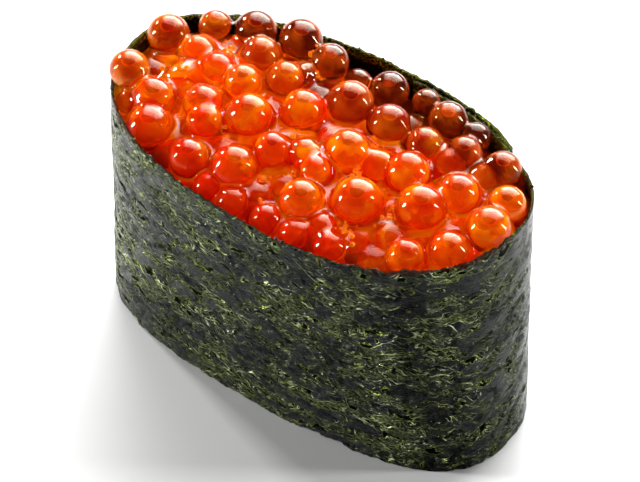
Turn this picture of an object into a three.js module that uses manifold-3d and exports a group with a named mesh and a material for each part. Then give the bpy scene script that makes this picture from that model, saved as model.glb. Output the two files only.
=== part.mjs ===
// Gunkan sushi: a strip of nori wound round a block of rice, with salmon roe heaped on top.
// Millimetres, +Z up. The origin is the middle of the foot, +X runs along the long side.

import * as THREE from 'three';
import { mergeVertices } from 'three/addons/utils/BufferGeometryUtils.js';
import Module from 'manifold-3d';

const wasm = await Module();
wasm.setup();

// ---- driving sizes ----

const HEIGHT = 36.2; // nori, foot to rim
const RIM = { length: 58.2, width: 31.2, squareness: 2.5 };
const FOOT = { length: 58.3, width: 28.8, squareness: 2.6 };
const FLARE = 0.035; // how much wider the +X end is than the middle
const OFF_MIDDLE = 0.65; // the uneven winding reaches this much further to +X, so all of it moves back

// A hand-wound strip is never quite regular: each wave is [count round the band, size, heading].
// The sizes of RIM_WAVES and FOOT_WAVES are shares of the radius, those of RIM_LIFT are millimetres.
const RIM_WAVES = [[1, 0.004, 180], [2, 0.011, 140], [3, 0.019, 66]];
const FOOT_WAVES = [[1, 0.007, 60], [2, 0.012, 14], [3, 0.022, -27]];
const RIM_LIFT = [[1, 0.35, 87], [2, 0.36, 67], [3, 0.5, 253]];
const FOOT_LIFT = { heading: -71, spread: 5, height: 0.5 }; // one place where the foot is off the table
const WALL_RIPPLE = { count: 11, depth: 0.12 };

const NORI_THICK = 0.5;
const GAP = 0.3; // left between pieces that touch
const LAP_START = 85; // heading of the strip's inner end, in degrees
const LAP_END = 50; // heading of its outer end, after one turn and the lap
const LAP_SPARE = 4; // degrees over which both layers keep clear past each end
const LAP_EASE = 20; // on either side of the lap, the strip eases back to the wall's line
const NORI_COLUMNS = 96;
const NORI_ROWS = 3;

const RICE_TOP = 22;
const RICE_RELIEF = 1.0; // how far the grains stand out of the rice's core underneath
const GRAIN = { length: 5.8, width: 2.8 };
const GRAIN_PITCH = { along: 5.0, across: 3.5 };

const CROWN = 1.4; // the middle eggs' centres above the rim
const HEAP_TILT = { along: -0.5, across: 1.4 }; // the heap leans back and to the far end
const HEAP_FALL = { along: 1.1, across: 2.3 }; // and falls off towards the wall
const BED_DEPTH = 1.1; // the bed between the eggs lies this far below their centres
const RING_COLUMNS = 40;
const BED_RINGS = 3;

// The large eggs that lie on top: [x, y, diameter, and how far it rides above its neighbours].
// Smaller ones fill in between, by a rule.
const TOP_EGGS = [
  [-25, -5.5, 5.2, 1.6], [-25.5, 3, 5.5, -0.3], [-21.5, 7.5, 4.4, -0.2], [-17, 10, 5.5, -0.3], [-11, 11.5, 5.6, 0.6],
  [-6, 11, 4.8, 0], [-13.5, 6.5, 5, 0], [-12.5, 1.5, 4.6, 0], [-8.5, 5, 4.6, 0], [-20.5, -6.5, 5.5, 0],
  [-18.5, -10, 5.8, -0.3], [-14.5, -4, 5, 0], [-8.5, -2.5, 5.9, 0], [-3.5, 2, 5.5, 0], [-11, -11.5, 5, 0.5],
  [-5.5, -9.5, 5.8, 0], [-3, -5, 4.4, 0], [5, 0, 5.5, 0], [0.5, 6.5, 5.9, 0], [6.5, 6.5, 5.4, 0],
  [2.5, 12, 5, -0.5], [11.5, 12, 5, 0], [16.5, 8.5, 4.5, 0], [12, 6.5, 4.7, 0], [21.8, 9.2, 4.9, 0.2],
  [25.5, 5, 4.9, 0], [26, 0.5, 5.8, 0], [13, 1.5, 5.5, 0], [20, 2.5, 5.4, 0], [17.5, -2, 6.2, 0],
  [10.5, -5.5, 6.3, 0], [4.5, -9, 5.4, 0], [20, -8.5, 4.6, 0], [24, -5, 5.2, 0],
];
const SMALL_EGG = { smallest: 3.3, largest: 4.8, sink: 1.0, spacing: 0.8, tries: 1500 };
const FINE_EGG = 5.8; // eggs at least this wide are made rounder
const EGG_SQUASH = 0.94; // height over width

// ---- the band's outline ----

const radians = THREE.MathUtils.degToRad;

function waves(list, heading) {
  return list.reduce((sum, [count, size, at]) => sum + size * Math.cos(count * heading - radians(at)), 0);
}

// A point of a rounded, slightly flared oval, on the wall's outer face.
function oval({ length, width, squareness }, list, heading) {
  const power = 2 / squareness;
  const c = Math.cos(heading);
  const s = Math.sin(heading);
  const along = Math.sign(c) * Math.abs(c) ** power;
  const across = Math.sign(s) * Math.abs(s) ** power * (1 + FLARE * along);
  const swell = 1 + waves(list, heading);
  return new THREE.Vector2((length / 2) * along * swell, (width / 2) * across * swell);
}

// A point of the outer face, moved outwards by offset, at a height from 0 at the foot to HEIGHT.
function wallPoint(heading, z, offset) {
  const at = (angle) => oval(FOOT, FOOT_WAVES, angle).lerp(oval(RIM, RIM_WAVES, angle), z / HEIGHT);
  const step = 0.01;
  const tangent = at(heading + step).sub(at(heading - step)).normalize();
  const point = at(heading);
  return new THREE.Vector3(point.x + tangent.y * offset, point.y - tangent.x * offset, z);
}

// Headings that step evenly along the rim, from one heading to another.
function evenHeadings(from, to, count) {
  const samples = 720;
  const headings = Array.from({ length: samples + 1 }, (_, i) => from + ((to - from) * i) / samples);
  const run = [0];
  for (let i = 1; i <= samples; i += 1) {
    const a = wallPoint(headings[i - 1], HEIGHT, 0);
    run.push(run[i - 1] + a.distanceTo(wallPoint(headings[i], HEIGHT, 0)));
  }
  return Array.from({ length: count + 1 }, (_, k) => {
    const target = (run[samples] * k) / count;
    const i = Math.max(1, run.findIndex((value) => value >= target - 1e-9));
    const part = (target - run[i - 1]) / (run[i] - run[i - 1]);
    return THREE.MathUtils.lerp(headings[i - 1], headings[i], part);
  });
}

// ---- solids ----

function geometryOf(points, triangles) {
  const geometry = new THREE.BufferGeometry().setFromPoints(points);
  geometry.setIndex(triangles);
  return geometry;
}

function solidOf(geometry) {
  const bare = new THREE.BufferGeometry();
  bare.setAttribute('position', geometry.getAttribute('position').clone());
  if (geometry.index) bare.setIndex(geometry.index.clone());
  const merged = mergeVertices(bare, 1e-4);
  return new wasm.Manifold(new wasm.Mesh({
    numProp: 3,
    vertProperties: new Float32Array(merged.getAttribute('position').array),
    triVerts: new Uint32Array(merged.index.array),
  }));
}

function meshOf(name, solid, material) {
  const { vertProperties, triVerts } = solid.getMesh();
  const geometry = new THREE.BufferGeometry();
  geometry.setAttribute('position', new THREE.BufferAttribute(vertProperties, 3));
  geometry.setIndex(new THREE.BufferAttribute(triVerts, 1));
  geometry.computeVertexNormals();
  const mesh = new THREE.Mesh(geometry, material);
  mesh.name = name;
  return mesh;
}

function largestPiece(solid) {
  return solid.decompose().sort((a, b) => b.volume() - a.volume())[0];
}

// ---- nori: one strip, wound a little more than once round ----

const STEP = NORI_THICK + GAP; // what one turn of the winding adds to the radius
const START = radians(LAP_START);
const END = radians(LAP_END - 360);

// The strip lies on the wall's line, but where it laps: half a step in at its inner end and half
// a step out at its outer end, which leaves the two layers clear of each other.
function stripOffset(heading) {
  const lap = radians(LAP_START - LAP_END + LAP_SPARE);
  const { smoothstep } = THREE.MathUtils;
  const inward = 1 - smoothstep(START - heading, lap, lap + radians(LAP_EASE));
  const outward = 1 - smoothstep(heading - END, lap, lap + radians(LAP_EASE));
  return (STEP / 2) * (outward - inward);
}

function footLift(heading) {
  const away = Math.atan2(Math.sin(heading - radians(FOOT_LIFT.heading)),
    Math.cos(heading - radians(FOOT_LIFT.heading)));
  return FOOT_LIFT.height * Math.exp(-((away / radians(FOOT_LIFT.spread)) ** 2));
}

// The strip as a closed sheet, grown by a margin on every side where other pieces keep clear of it.
function strip(margin) {
  const spare = margin / (RIM.length / 2);
  const headings = evenHeadings(START + spare, END - spare, NORI_COLUMNS);
  const points = [];
  for (const face of [margin, -NORI_THICK - margin]) {
    for (const heading of headings) {
      for (let row = 0; row <= NORI_ROWS; row += 1) {
        const share = row / NORI_ROWS;
        const low = footLift(heading) - margin;
        const high = HEIGHT + waves(RIM_LIFT, heading) + margin;
        const z = THREE.MathUtils.lerp(low, high, share);
        const ripple = WALL_RIPPLE.depth * Math.sin(Math.PI * share)
          * Math.sin(WALL_RIPPLE.count * heading + 3 * share);
        points.push(wallPoint(heading, z, stripOffset(heading) + ripple + face));
      }
    }
  }
  const rows = NORI_ROWS + 1;
  const sheet = headings.length * rows;
  const triangles = [];
  const quad = (a, b, c, d) => triangles.push(a, b, c, a, c, d);
  for (let i = 0; i < NORI_COLUMNS; i += 1) {
    for (let j = 0; j < NORI_ROWS; j += 1) {
      const a = i * rows + j;
      quad(a, a + 1, a + rows + 1, a + rows);
      quad(sheet + a, sheet + a + rows, sheet + a + rows + 1, sheet + a + 1);
    }
    const foot = i * rows;
    const rim = foot + NORI_ROWS;
    quad(foot, foot + rows, sheet + foot + rows, sheet + foot);
    quad(rim, sheet + rim, sheet + rim + rows, rim + rows);
  }
  for (let j = 0; j < NORI_ROWS; j += 1) {
    const last = NORI_COLUMNS * rows + j;
    quad(j, sheet + j, sheet + j + 1, j + 1);
    quad(last, last + 1, sheet + last + 1, sheet + last);
  }
  return solidOf(geometryOf(points, triangles));
}

// ---- what the strip holds ----

// How far inside the wall's line the filling stops: it follows the inner turn of the strip.
function fillingOffset(heading) {
  const travel = THREE.MathUtils.euclideanModulo(START - heading, 2 * Math.PI);
  const ease = radians(LAP_EASE) / 2;
  const towardsEnd = THREE.MathUtils.smoothstep(travel, 2 * Math.PI - ease, 2 * Math.PI - ease / 4);
  const inner = Math.min(stripOffset(START - travel), (-STEP / 2) * towardsEnd);
  return inner - NORI_THICK - WALL_RIPPLE.depth - GAP;
}

// A closed loft inside the strip, from a flat underside to a top that may be domed.
function filling(bottom, topAt) {
  const headings = evenHeadings(0, 2 * Math.PI, RING_COLUMNS).slice(0, RING_COLUMNS);
  const points = headings.map((heading) => wallPoint(heading, bottom, fillingOffset(heading)));
  for (let ring = 0; ring < BED_RINGS; ring += 1) {
    const share = 1 - ring / BED_RINGS;
    for (const heading of headings) {
      const edge = wallPoint(heading, HEIGHT, fillingOffset(heading)).multiplyScalar(share);
      const z = topAt(edge.x, edge.y);
      const wall = wallPoint(heading, z, fillingOffset(heading));
      points.push(new THREE.Vector3(wall.x * share, wall.y * share, z));
    }
  }
  const under = points.push(new THREE.Vector3(0, 0, bottom)) - 1;
  const crown = points.push(new THREE.Vector3(0, 0, topAt(0, 0))) - 1;
  const triangles = [];
  for (let i = 0; i < RING_COLUMNS; i += 1) {
    const next = (i + 1) % RING_COLUMNS;
    triangles.push(under, next, i);
    for (let ring = 0; ring < BED_RINGS; ring += 1) {
      const a = ring * RING_COLUMNS;
      const b = a + RING_COLUMNS;
      triangles.push(a + i, a + next, b + next, a + i, b + next, b + i);
    }
    const last = BED_RINGS * RING_COLUMNS;
    triangles.push(last + i, last + next, crown);
  }
  return solidOf(geometryOf(points, triangles));
}

// A number from 0 to 1 that looks random but is the same for each index.
function scatter(index, ratio) {
  return (index * ratio) % 1;
}

const RATIO = { first: 0.7548776662, second: 0.569840291, third: 0.6180339887 };

// ---- rice: a block with its grains showing underneath ----

// A six-sided grain lying on its side, with its middle flat on the table.
function grain(x, y, index) {
  const shape = new THREE.SphereGeometry(1, 6, 3);
  const girth = Math.sin(Math.PI / 3); // of the two rings of corners round its middle
  shape.rotateZ(Math.PI / 2);
  shape.scale(GRAIN.length / 2, GRAIN.width / 2 / girth, RICE_RELIEF / girth ** 2);
  shape.rotateZ(Math.PI * scatter(index, RATIO.first));
  shape.translate(x, y, RICE_RELIEF);
  return solidOf(shape);
}

function riceBlock() {
  const block = filling(0, () => RICE_TOP);
  let rice = filling(RICE_RELIEF, () => RICE_TOP);
  const columns = Math.ceil(FOOT.length / 2 / GRAIN_PITCH.along);
  const rows = Math.ceil(FOOT.width / 2 / GRAIN_PITCH.across);
  let index = 0;
  for (let row = -rows; row <= rows; row += 1) {
    for (let column = -columns; column <= columns; column += 1) {
      const stagger = (row % 2) * 0.5;
      const x = (column + stagger) * GRAIN_PITCH.along;
      const y = row * GRAIN_PITCH.across;
      rice = rice.add(grain(x, y, index));
      index += 1;
    }
  }
  return largestPiece(rice.intersect(block));
}

// ---- roe: a bed of small eggs and gel, with the eggs that show fused on ----

// Height of the top eggs' centres.
function heapHeight(x, y) {
  const along = x / (RIM.length / 2);
  const across = y / (RIM.width / 2);
  const rise = CROWN + HEAP_TILT.along * along + HEAP_TILT.across * across;
  return HEIGHT + rise - HEAP_FALL.along * along ** 2 - HEAP_FALL.across * across ** 2;
}

function bedHeight(x, y) {
  return heapHeight(x, y) - BED_DEPTH;
}

function insideWall(x, y, clearance) {
  const along = Math.abs(x) / (RIM.length / 2 - clearance);
  const across = Math.abs(y) / (RIM.width / 2 - clearance);
  return along ** RIM.squareness + across ** RIM.squareness < 1;
}

function layEggs() {
  const eggs = TOP_EGGS.map(([x, y, width, lift]) => ({ x, y, z: heapHeight(x, y) + lift, width }));
  for (let i = 1; i <= SMALL_EGG.tries; i += 1) {
    const x = RIM.length * (scatter(i, RATIO.first) - 0.5);
    const y = RIM.width * (scatter(i, RATIO.second) - 0.5);
    const width = THREE.MathUtils.lerp(SMALL_EGG.smallest, SMALL_EGG.largest, scatter(i, RATIO.third));
    const free = eggs.every((egg) => Math.hypot(egg.x - x, egg.y - y)
      > (SMALL_EGG.spacing * (egg.width + width)) / 2);
    if (free && insideWall(x, y, NORI_THICK + STEP / 2 + width / 2)) {
      eggs.push({ x, y, z: heapHeight(x, y) - SMALL_EGG.sink, width });
    }
  }
  return eggs;
}

function eggSolid({ x, y, z, width }, index) {
  const shape = new THREE.IcosahedronGeometry(width / 2, width >= FINE_EGG ? 2 : 1);
  shape.rotateX(Math.PI * scatter(index, RATIO.first));
  shape.scale(1, 1, EGG_SQUASH);
  shape.rotateZ(Math.PI * scatter(index, RATIO.second));
  shape.translate(x, y, z);
  return solidOf(shape);
}

function roeHeap() {
  let heap = filling(RICE_TOP + GAP, bedHeight);
  layEggs().forEach((egg, index) => {
    heap = heap.add(eggSolid(egg, index));
  });
  return largestPiece(heap.subtract(strip(GAP)));
}

// ---- the part ----

const NORI = new THREE.MeshStandardMaterial({ color: '#1b2216', roughness: 0.5, metalness: 0 });
const RICE = new THREE.MeshStandardMaterial({ color: '#efe9da', roughness: 0.45, metalness: 0 });
const ROE = new THREE.MeshStandardMaterial({ color: '#e2440c', roughness: 0.12, metalness: 0 });

const group = new THREE.Group();
group.add(
  meshOf('nori', strip(0), NORI),
  meshOf('rice', riceBlock(), RICE),
  meshOf('roe', roeHeap(), ROE),
);
group.position.x = -OFF_MIDDLE;

export default group;
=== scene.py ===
"""Gunkan sushi with salmon roe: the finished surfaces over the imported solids.

Sizes are millimetres until a mesh is written, and materials read metres. Places on the wall and in
the heap are measured from the middle of the wall's outline, and OFF_MIDDLE takes them to the frame's.
"""

import math
from types import SimpleNamespace

import bmesh
import bpy
import numpy as np
from mathutils import Matrix, Vector, noise
from mathutils.bvhtree import BVHTree


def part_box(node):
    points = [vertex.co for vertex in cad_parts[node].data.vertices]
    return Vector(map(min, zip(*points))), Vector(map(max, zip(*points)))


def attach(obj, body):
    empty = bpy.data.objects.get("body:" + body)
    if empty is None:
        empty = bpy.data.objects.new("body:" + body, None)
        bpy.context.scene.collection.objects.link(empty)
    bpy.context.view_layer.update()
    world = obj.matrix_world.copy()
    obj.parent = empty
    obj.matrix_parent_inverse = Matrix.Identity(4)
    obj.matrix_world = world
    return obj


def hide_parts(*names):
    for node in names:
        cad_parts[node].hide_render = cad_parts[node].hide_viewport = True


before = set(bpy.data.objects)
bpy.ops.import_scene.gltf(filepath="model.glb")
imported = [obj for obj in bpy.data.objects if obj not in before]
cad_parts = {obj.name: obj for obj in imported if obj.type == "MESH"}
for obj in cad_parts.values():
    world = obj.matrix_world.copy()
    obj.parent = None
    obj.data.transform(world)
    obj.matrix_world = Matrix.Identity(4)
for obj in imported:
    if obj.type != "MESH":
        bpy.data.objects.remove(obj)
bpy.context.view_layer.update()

MM = 0.001

# ---- sizes that the solids have too ----

HEIGHT = 36.2
RIM = {"length": 58.2, "width": 31.2, "squareness": 2.5}
FOOT = {"length": 58.3, "width": 28.8, "squareness": 2.6}
FLARE = 0.035  # how much wider the +X end is than the middle
OFF_MIDDLE = 0.65  # how far the outline is moved back along x
# waves of the outline and of the rim's height: count round the band, size and heading
RIM_WAVES = [(1, 0.004, 180), (2, 0.011, 140), (3, 0.019, 66)]
FOOT_WAVES = [(1, 0.007, 60), (2, 0.012, 14), (3, 0.022, -27)]
RIM_LIFT = [(1, 0.35, 87), (2, 0.36, 67), (3, 0.5, 253)]
FOOT_LIFT = {"heading": -71, "spread": 5, "height": 0.5}
LAP_START = 85  # heading of the strip's inner end, in degrees
LAP_END = 50  # heading of its outer end, after one turn and the lap
LAP_SPARE = 4  # degrees past the lap before the step fades
LAP_EASE = 20  # and over which it does
LAP_STEP = 0.8  # how far the outer layer is outside the inner one

CROWN = 1.4
HEAP_TILT = (-0.5, 1.4)
HEAP_FALL = (1.1, 2.3)
EGG_SQUASH = 0.94  # height over width
TOP_EGGS = [  # x, y, width and how far each rides above the heap's surface
    (-25, -5.5, 5.2, 1.6), (-25.5, 3, 5.5, -0.3), (-21.5, 7.5, 4.4, -0.2), (-17, 10, 5.5, -0.3),
    (-11, 11.5, 5.6, 0.6), (-6, 11, 4.8, 0), (-13.5, 6.5, 5, 0), (-12.5, 1.5, 4.6, 0),
    (-8.5, 5, 4.6, 0), (-20.5, -6.5, 5.5, 0), (-18.5, -10, 5.8, -0.3), (-14.5, -4, 5, 0),
    (-8.5, -2.5, 5.9, 0), (-3.5, 2, 5.5, 0), (-11, -11.5, 5, 0.5), (-5.5, -9.5, 5.8, 0),
    (-3, -5, 4.4, 0), (5, 0, 5.5, 0), (0.5, 6.5, 5.9, 0), (6.5, 6.5, 5.4, 0), (2.5, 12, 5, -0.5),
    (11.5, 12, 5, 0), (16.5, 8.5, 4.5, 0), (12, 6.5, 4.7, 0), (21.8, 9.2, 4.9, 0.2),
    (25.5, 5, 4.9, 0), (26, 0.5, 5.8, 0), (13, 1.5, 5.5, 0), (20, 2.5, 5.4, 0), (17.5, -2, 6.2, 0),
    (10.5, -5.5, 6.3, 0), (4.5, -9, 5.4, 0), (20, -8.5, 4.6, 0), (24, -5, 5.2, 0),
]

# ---- sizes of the finish: eggs and gel ----

LOW_EGGS = [  # smaller eggs that show between those on top, in the same terms
    (-20.8, 3, 4, -0.5), (-16.9, 1.8, 4.3, -0.5), (-7.7, 7.6, 3.3, -0.8), (-12.6, -6.2, 4.6, 0.1),
    (0.7, -3.2, 4.3, -0.4), (-1.5, 10.7, 3.3, -0.5), (7.3, 13.2, 3.7, -0.5), (15.6, 12.2, 4, -0.5),
    (16, 6.2, 4, -0.5), (3.3, -4.6, 4, -0.3), (2.1, -13, 4, -0.5), (6.5, -12.9, 4.3, -0.5),
    (11.1, -12.1, 4.3, -0.5), (8.8, -10.3, 3.8, -0.8), (-3, -13.2, 4, -0.5), (-6.8, -13, 3.8, -0.5),
    (9.1, 0.6, 4.3, -0.6), (20.6, 7, 3.8, -0.5), (-23.1, -8.2, 3.3, -0.5),
]
RATIO = (0.7548776662, 0.569840291, 0.6180339887)  # steps that spread places and widths evenly
# eggs laid by a rule; spacing is the least room between two middles, over the mean of their widths
SMALL_EGG = {"spacing": 0.74, "smallest": 3.3, "largest": 4.6, "sink": 2.6, "tries": 1500}
SUNK_EGG = {"spacing": 0.84, "smallest": 3.8, "largest": 5.2, "sink": 4.3, "tries": 900}
EGG_CLEARANCE = 0.9  # from such an egg to the rim's oval
EGG_BLEND = 0.40  # how softly eggs melt into one another
EGG_TRIM = 0.06  # taken off each egg all round
HEART_SHARE = 0.80  # an egg's cloudy heart, over its width
EYE = {"share": 0.30, "squash": 0.30, "rise": 0.24}  # its oil drop, and how far up it floats
EGG_PAINTED_SHADE_BACK = {"from": 2.6, "to": 8.0, "lean": 0.10}  # where eggs against the strip are painted dark: painted shade
# and those at the far left, painted half so dark: painted shade
EGG_PAINTED_SHADE_LEFT = {"from": 20.0, "to": 25.0, "share": 0.55}

GEL_DEPTH = 1.3  # under the crown
GEL_BLEND = 2.1  # how softly it rises onto the eggs
BACK_DIP = {"depth": 2.2, "starts": 5.0, "ends": 12.0, "lean": 0.16}
# radians for each mm along x and y, phase and height of each
GEL_WAVES = [(0.31, 0.17, 0.4, 0.30), (-0.23, 0.42, 2.1, 0.22), (0.52, -0.38, 4.4, 0.14)]
GEL_POOLS = [  # x, y, spread and rise of each
    (-20.0, -1.6, 2.6, 1.9), (16.5, 4.6, 2.4, 1.4), (-2.5, 9.5, 2.2, 0.9), (2.0, 4.0, 1.6, 1.0),
    (-25.2, 8.0, 3.0, -2.4), (-27.8, 1.5, 2.2, -1.5),
]
GEL_INSET = 0.1  # from the face that holds the skin
SKIN_STEP = 0.28  # of the grid that the skin is worked out on
SKIN_FLOOR = 31.5
SKIN_MARGIN = 2.0  # how far the grid goes past the rim
SKIN_HEADROOM = 6.5  # and over it
SKIN_INTO_WALL = 0.14  # so that no gap shows between roe and seaweed
SKIN_OVER_RIM = 0.2  # above this, eggs may reach past the wall
BED = {"columns": 180, "rings": 40, "sink": 3.2, "clear": 0.35, "edge_clear": 0.05, "lowest": 0.3}
BUBBLE = {"smallest": 0.22, "spread": 0.50, "sink": 0.02, "clear": 0.12}
BUBBLES = [  # x, y, spread and count of each cluster
    (-17.7, 5.2, 0.7, 26), (-19.8, -1.0, 0.8, 8), (-21.6, -1.5, 0.8, 8), (-14.5, -0.7, 0.5, 8),
    (-16.3, -6.8, 0.6, 10), (-9.4, -6.2, 0.5, 10), (-1.8, -1.1, 0.5, 12), (0.8, -6.1, 0.4, 6),
    (-1.7, -8.1, 0.5, 8), (0.3, -11.4, 0.4, 6), (14.5, -4.8, 0.7, 30), (11.7, -9.3, 0.8, 30),
    (7.9, -2.1, 0.5, 10), (12.1, -1.9, 0.4, 10), (21.2, -0.7, 0.4, 8), (7.2, 3.0, 0.6, 18),
    (-8.4, 10.1, 0.4, 8), (-10.7, 8.0, 0.5, 12), (-6.3, 8.4, 0.5, 14),
]

# ---- sizes of the finish: seaweed and rice ----

NORI = {"thick": 0.3, "columns": 640, "rows": 68, "tuck": 0.35, "tuck_run": 4.0}
INNER_PATTERN = 90.0  # how far along the pattern the inner face starts from the outer one
SLOW_WAVE = {"height": 0.18, "along": 13, "up": 10}
# its unevenness: lengths along and up the strip, and slope for how slantwise it runs
CREASE = {"depth": 0.28, "along": 6.0, "up": 3.4, "slope": 14, "narrow": 7.0}
CRUMPLE = {"height": 0.09, "along": 2.4, "up": 1.6, "slope": 6}
CALM_RIM = {"share": 0.8, "from": 7.0, "to": 3.0}
RAGGED = [(0.34, 2.6), (0.34, 1.1)]  # height and length of its rim's teeth, at the front
FRAYED = [(0.26, 0.5), (0.18, 0.28)]  # and all round
FRONT = {"heading": -53, "least": 0.35}
FOOT_TRIM = {"height": 0.1, "ragged": 0.9}
CRUMBS = {"count": 520, "smallest": 0.12, "largest": 0.44, "run": 0.97, "low": -0.30, "high": 0.06}
# turn, scale, width and place of each family of threads
COARSE_THREADS = [(14, 0.8, 0.018, 5), (-20, 0.9, 0.018, 40), (38, 0.7, 0.014, 160)]
FINE_THREADS = [(-4, 1.8, 0.032, 80), (24, 1.6, 0.030, 120), (-34, 1.7, 0.026, 280)]
NORI_TONES = {  # linear colours; the second of a pair is for the left end of the front, painted paler as painted light
    "film": (0.010, 0.009, 0.018),
    "under": (0.010, 0.014, 0.005),
    "mat": ((0.034, 0.043, 0.013), (0.072, 0.088, 0.028)),
    "fleck": ((0.28, 0.33, 0.15), (0.60, 0.66, 0.40)),
    "fine": ((0.26, 0.32, 0.12), (0.74, 0.80, 0.50)),
    "coarse": (0.66, 0.74, 0.40),
    "lip": (0.42, 0.50, 0.10),
    # holes, and the painted shadow in slits and beside threads
    "hole_and_shadow": (0.0004, 0.0005, 0.0002),
    # painted glints
    "dot": (0.95, 0.98, 0.85),
    "stain": (0.085, 0.014, 0.003),
    "inner": (0.006, 0.0022, 0.0008),
    "inner_grain": (0.018, 0.014, 0.003),
    # painted light shining through the rim at the back
    "painted_backlight": (0.014, 0.021, 0.003),
    "painted_backlight_speck": (0.85, 1.0, 0.04),
    "shade": (0.004, 0.004, 0.006),
    # painted shade for the back of the outer face
    "back": (0.004, 0.005, 0.004),
}
# stretches of x or y, in metres as materials read them, over which the looks change
PAINTED_LIGHT_LEFT_END = {"x": (-0.024, -0.014), "y": (-0.003, 0.005)}  # of the nori's front: painted paler as painted light, and with more holes and slits
GLOSSY_END = (0.0236, 0.0250)  # its right end, slantwise
PAINTED_SHADE_SIDE = (-0.002, 0.012)  # its back, slantwise, painted darker: painted shade
PAINTED_SHADE_FRONT = (-0.0125, -0.0085)  # of the roe, painted deep red: painted shade by the strip
# and of the roe, painted red-brown at the back: painted shade by the strip
PAINTED_SHADE_BACK = (0.0060, 0.0100)

RICE = {"low": 2.6, "top": 22.0, "gap": 0.45, "columns": 160, "levels": 6}
GRAINS = {"layers": (1.25, 2.9), "along": 4.3, "across": 2.7, "jitter": 0.5, "shift": (0.35, 0.5),
          "width": 2.5, "wider": 0.4, "clearance": 2.4, "inside_foot": 1.5}

# ---- camera and light ----

VIEW = {"azimuth": 37.24, "elevation": 46.9, "roll": -0.34, "distance": 693.0, "lens": 309.1}
AIM_OFF = (0.42, -0.16)  # the view's middle, right of and above the band's middle
LAMP_AIM = 0.03  # metres above the floor
LAMPS = [  # name, azimuth, elevation, distance, size and power
    ("bank_over_the_back", 198, 41, 0.50, (0.82, 0.62), 13.3),
    ("window_left", -58, 13, 0.60, (0.075, 0.22), 5.8),
    ("window_far_left", -103, 21, 0.60, (0.08, 0.08), 2.8),
    ("strip_right", 125, 16, 0.45, (0.05, 0.24), 1.7),
]
BANK_GLOW = {"low": 2.1, "high": 0.40, "share": 1.0}
STUDIO_GLOW = 0.05
FLOOR = {"half": 2500, "grey": 0.52, "roughness": 0.6}


def look_axes(azimuth, elevation, roll=0.0):
    """Right, up and back of a camera that stands at this azimuth and elevation, in degrees."""
    a = math.radians(azimuth)
    e = math.radians(elevation)
    back = Vector((math.sin(a) * math.cos(e), -math.cos(a) * math.cos(e), math.sin(e)))
    right = Vector((math.cos(a), math.sin(a), 0.0))
    up = back.cross(right)
    r = math.radians(roll)
    return right * math.cos(r) + up * math.sin(r), up * math.cos(r) - right * math.sin(r), back


def add_camera():
    """A long lens that looks down on the sushi from its front right."""
    right, up, back = look_axes(VIEW["azimuth"], VIEW["elevation"], VIEW["roll"])
    aim = Vector((-OFF_MIDDLE, 0.0, HEIGHT / 2)) + right * AIM_OFF[0] + up * AIM_OFF[1]
    data = bpy.data.cameras.new("camera")
    data.sensor_width = 36.0
    data.lens = VIEW["lens"]
    data.clip_start = 0.02
    data.clip_end = 20.0
    camera = bpy.data.objects.new("camera", data)
    turn = Matrix((right, up, back)).transposed().to_4x4()
    camera.matrix_world = Matrix.Translation((aim + back * VIEW["distance"]) * MM) @ turn
    bpy.context.collection.objects.link(camera)
    bpy.context.scene.camera = camera


def add_lamp(name, azimuth, elevation, distance, size, power):
    """An area lamp that faces the sushi; distance and size in metres."""
    data = bpy.data.lights.new(name, "AREA")
    data.shape = "RECTANGLE"
    data.size, data.size_y = size
    data.energy = power
    lamp = bpy.data.objects.new(name, data)
    right, up, back = look_axes(azimuth, elevation)
    turn = Matrix((right, up, back)).transposed().to_4x4()
    lamp.matrix_world = Matrix.Translation(Vector((0, 0, LAMP_AIM)) + back * distance) @ turn
    bpy.context.collection.objects.link(lamp)
    return data


def fade_lamp(data, low, high, share):
    """A soft box: its glow goes from low to high over this share of it from below, soft at its edges."""
    data.use_nodes = True
    tree = data.node_tree
    across, up, _ = apart(tree, node(tree, "ShaderNodeNewGeometry").outputs["Parametric"])
    glow = ramp(tree, up, 0.0, share, low, high)
    side = maths(tree, "ABSOLUTE", minus(tree, across, 0.5))
    glow = times(tree, glow, ramp(tree, side, 0.22, 0.5, 1.0, 0.0))
    end = maths(tree, "ABSOLUTE", minus(tree, up, 0.5))
    glow = times(tree, glow, ramp(tree, end, 0.42, 0.5, 1.0, 0.0))
    tree.links.new(glow, tree.nodes["Emission"].inputs["Strength"])


def add_lights():
    """A soft bank over the back, two small windows at the left and a strip at the right."""
    lamps = [add_lamp(*lamp) for lamp in LAMPS]
    fade_lamp(lamps[0], **BANK_GLOW)
    world = bpy.data.worlds.new("studio")
    world.use_nodes = True
    background = world.node_tree.nodes["Background"]
    background.inputs["Color"].default_value = (1.0, 1.0, 1.0, 1.0)
    background.inputs["Strength"].default_value = STUDIO_GLOW
    bpy.context.scene.world = world
    bpy.context.scene.view_settings.view_transform = "Standard"
    bpy.context.scene.view_settings.look = "Medium High Contrast"


def add_floor():
    made, _, shader = material("floor")
    shader.inputs["Base Color"].default_value = (FLOOR["grey"], FLOOR["grey"], FLOOR["grey"], 1)
    shader.inputs["Roughness"].default_value = FLOOR["roughness"]
    corners = [(x * FLOOR["half"], y * FLOOR["half"], 0) for x, y in ((-1, -1), (1, -1), (1, 1), (-1, 1))]
    mesh_piece("floor", corners, [(0, 1, 2, 3)], made, smooth=False)


# ---- nodes ----

def node(tree, kind, inputs=None, **settings):
    """A new node; a value that is a socket is linked, any other is set."""
    made = tree.nodes.new(kind)
    for name, value in settings.items():
        setattr(made, name, value)
    for name, value in (inputs or {}).items():
        socket = made.inputs[name]
        if isinstance(value, bpy.types.NodeSocket):
            tree.links.new(value, socket)
        else:
            socket.default_value = value
    return made


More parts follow.
